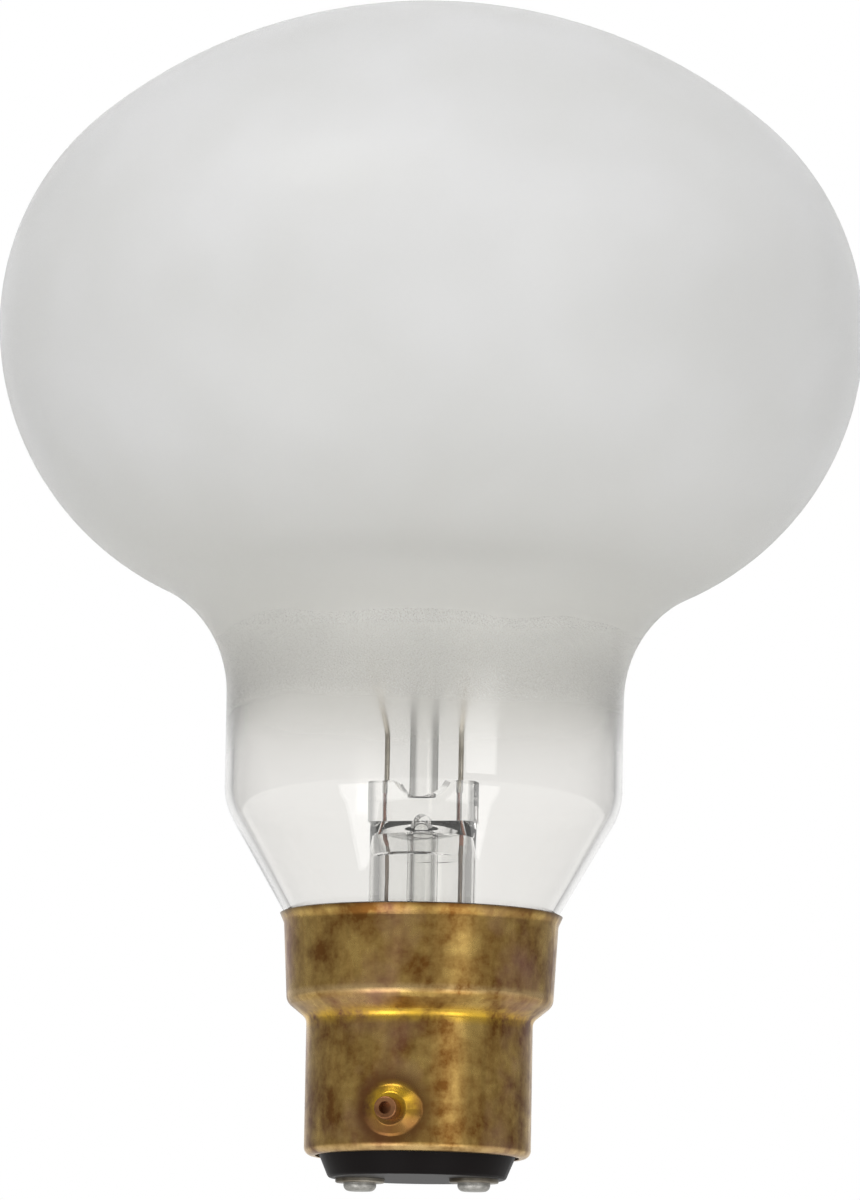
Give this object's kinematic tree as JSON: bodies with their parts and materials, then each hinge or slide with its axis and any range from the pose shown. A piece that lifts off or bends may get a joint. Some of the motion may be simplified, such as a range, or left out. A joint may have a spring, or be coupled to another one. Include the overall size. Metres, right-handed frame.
{
  "type": "mushroom incandescent lamp bulb",
  "caption": "Mushroom-headed glass filament lamp, white inside the head and clear at the neck, on a two-contact bayonet cap with side pins.",
  "frame": {"origin": "on the lamp's axis, in the plane that its two contacts touch in a holder", "axes": "+Z along the lamp's axis from the cap to the head, the bayonet pins along Y, the contacts along X"},
  "size_m": [0.0848, 0.0848, 0.1164],
  "materials": {
    "coated_glass": "white inside the head, clear at the neck",
    "clear_glass": "clear",
    "brass": "aged, satin",
    "black_glass": "glossy, opaque",
    "solder": "dull grey",
    "nickel_wire": "drawn",
    "copper_wire": "drawn",
    "tungsten_wire": "drawn",
    "capping_cement": "matt"
  },
  "bodies": {
    "root": {"glass_envelope": "coated_glass", "stem_tube": "clear_glass", "exhaust_tube": "clear_glass", "support_rod": "clear_glass", "fuse_sleeve": "clear_glass", "cap_shell": "brass", "bayonet_pin_front": "brass", "bayonet_pin_back": "brass", "contact_left": "brass", "contact_right": "brass", "insulator": "black_glass", "solder_left": "solder", "solder_right": "solder", "inner_lead_left": "nickel_wire", "inner_lead_right": "nickel_wire", "seal_wire_left": "copper_wire", "seal_wire_right": "copper_wire", "outer_lead_left": "copper_wire", "outer_lead_right": "copper_wire", "fuse_tail": "copper_wire", "fuse_wire": "copper_wire", "filament": "tungsten_wire", "filament_support_1": "tungsten_wire", "filament_support_2": "tungsten_wire", "filament_support_3": "tungsten_wire", "filament_support_4": "tungsten_wire", "filament_support_5": "tungsten_wire", "capping_cement": "capping_cement"}
  },
  "joints": []
}
